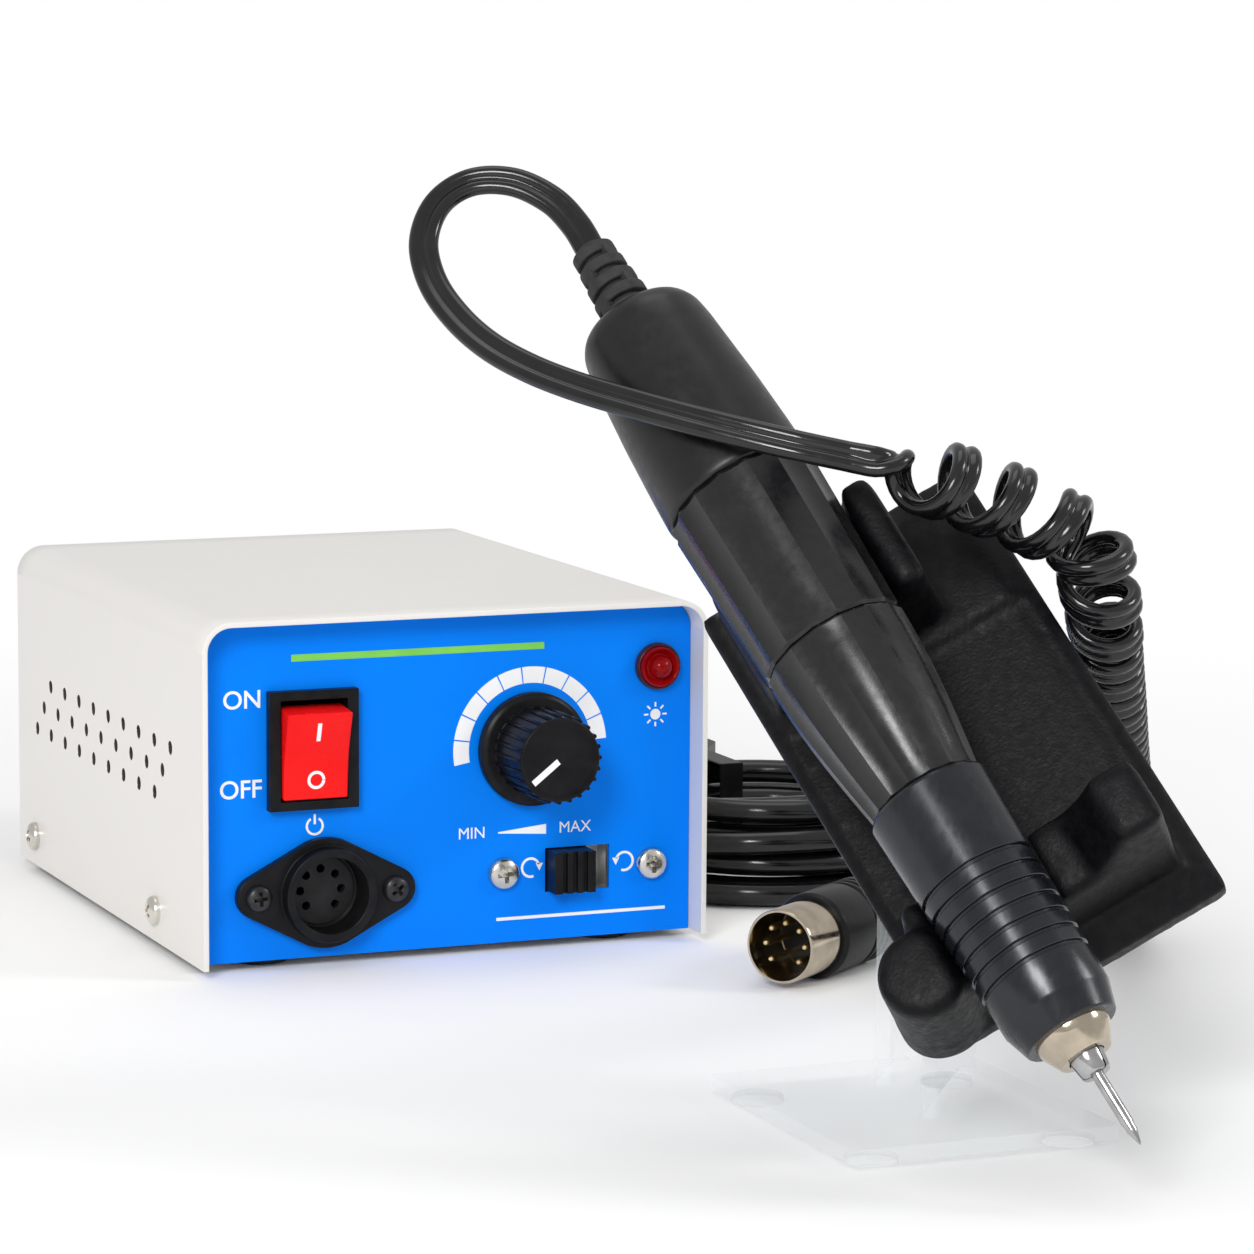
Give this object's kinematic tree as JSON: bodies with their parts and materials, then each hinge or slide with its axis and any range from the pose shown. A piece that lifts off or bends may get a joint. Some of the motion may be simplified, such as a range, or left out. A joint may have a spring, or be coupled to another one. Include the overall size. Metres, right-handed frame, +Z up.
{
  "type": "dental lab micromotor",
  "caption": "Dental laboratory micromotor: control box with speed knob, switches and socket, a motor handpiece on an inclined stand, a curly motor lead and a mains lead.",
  "frame": {"origin": "on the table, under the middle of the box that holds the case, handpiece and stand", "axes": "+X to the right of the front panel, +Y from the panel to the case's back, +Z up"},
  "size_m": [0.2151, 0.4625, 0.1754],
  "materials": {
    "cover_paint": "semi-gloss off-white enamel",
    "chassis_steel": "bare zinc-plated sheet",
    "panel_blue": "satin blue with white print",
    "screw_steel": "nickel-plated",
    "screw_black": "black-oxide",
    "rubber": "matt black rubber",
    "switch_black": "glossy black moulding",
    "knob_black": "satin black moulding",
    "rocker_red": "glossy red moulding",
    "mark_white": "white inlay",
    "lamp_red": "dark red translucent moulding",
    "pot_metal": "plated",
    "socket_black": "satin black moulding",
    "switch_body": "pale moulding",
    "core_iron": "laminated iron",
    "winding": "enamelled copper wire",
    "board_green": "green resist",
    "board_dark": "board components",
    "housing_black": "satin black moulding",
    "sleeve_anodised": "blue-black anodised",
    "nickel": "warm nickel",
    "steel": "ground steel",
    "motor_steel": "drawn steel",
    "magnet": "ferrite",
    "cord_black": "glossy black sheath",
    "plug_black": "satin black moulding",
    "plug_metal": "nickel shell",
    "prop_clear": "clear acrylic sheet",
    "stand_black": "fine-grained black moulding"
  },
  "bodies": {
    "unit": {"cover": "cover_paint", "chassis": "chassis_steel", "front_panel": "panel_blue", "cover_screws": "screw_steel", "feet": "rubber", "rocker_frame": "switch_black", "potentiometer": "pot_metal", "lamp_bezel": "switch_black", "lamp_lens": "lamp_red", "socket_shell": "socket_black", "socket_insert": "socket_black", "socket_screws": "screw_black", "slide_body": "switch_body", "slide_screws": "screw_steel", "transformer_core": "core_iron", "transformer_coil": "winding", "circuit_board": "board_green", "board_parts": "board_dark", "fuse_holder": "switch_black", "mains_gland": "rubber", "mains_lead": "cord_black", "mains_coil": "cord_black", "mains_tail": "cord_black", "coil_tie": "rubber", "mains_plug": "plug_black", "mains_pins": "screw_steel", "curly_cord": "cord_black", "lead_tail": "cord_black", "plug_boot": "plug_black", "plug_body": "plug_black", "plug_shell": "plug_metal", "plug_pins": "plug_metal", "stand_bed": "stand_black", "stand_prop": "prop_clear", "stand_pads": "prop_clear"},
    "rocker": {"rocker": "rocker_red"},
    "speed_control": {"speed_knob": "knob_black", "knob_pointer": "mark_white", "pot_shaft": "pot_metal"},
    "direction_switch": {"slide_button": "switch_black"},
    "handpiece": {"cord_boot": "rubber", "rear_cover": "housing_black", "motor_housing": "housing_black", "front_sleeve": "sleeve_anodised", "nose_cap": "nickel", "core_tube": "motor_steel", "motor_can": "motor_steel", "magnets": "magnet", "brush_gear": "board_dark", "bearings": "steel", "lead_rear": "cord_black"},
    "chuck": {"chuck_ring": "housing_black"},
    "spindle": {"collet": "steel", "spindle": "steel", "armature": "winding"},
    "bur": {"bur": "steel"}
  },
  "joints": [
    {"name": "rocker_tilt", "type": "hinge", "parent": "unit", "child": "rocker", "pos_m": [-0.0378, 0.0555, 0.0475], "axis": [-1, 0, 0], "range_deg": [0, 22]},
    {"name": "speed_turn", "type": "hinge", "parent": "unit", "child": "speed_control", "pos_m": [0.0126, 0.05, 0.0448], "axis": [0, 1, 0], "range_deg": [0, 270]},
    {"name": "direction_slide", "type": "slide", "parent": "unit", "child": "direction_switch", "axis": [1, 0, 0], "range_m": [0, 0.005]},
    {"name": "handpiece_lift", "type": "slide", "parent": "unit", "child": "handpiece", "axis": [-0.5195, -0.7111, 0.4738], "range_m": [0, 0.06]},
    {"name": "chuck_turn", "type": "hinge", "parent": "handpiece", "child": "chuck", "pos_m": [0.00645, -0.13295, 0.07868], "axis": [-0.2376, 0.6528, 0.7193], "range_deg": [0, 90]},
    {"name": "spindle_spin", "type": "hinge", "parent": "handpiece", "child": "spindle", "pos_m": [0.01405, -0.15383, 0.05566], "axis": [-0.2376, 0.6528, 0.7193], "continuous": true},
    {"name": "bur_draw", "type": "slide", "parent": "spindle", "child": "bur", "axis": [0.2376, -0.6528, -0.7193], "range_m": [0, 0.0165]}
  ]
}
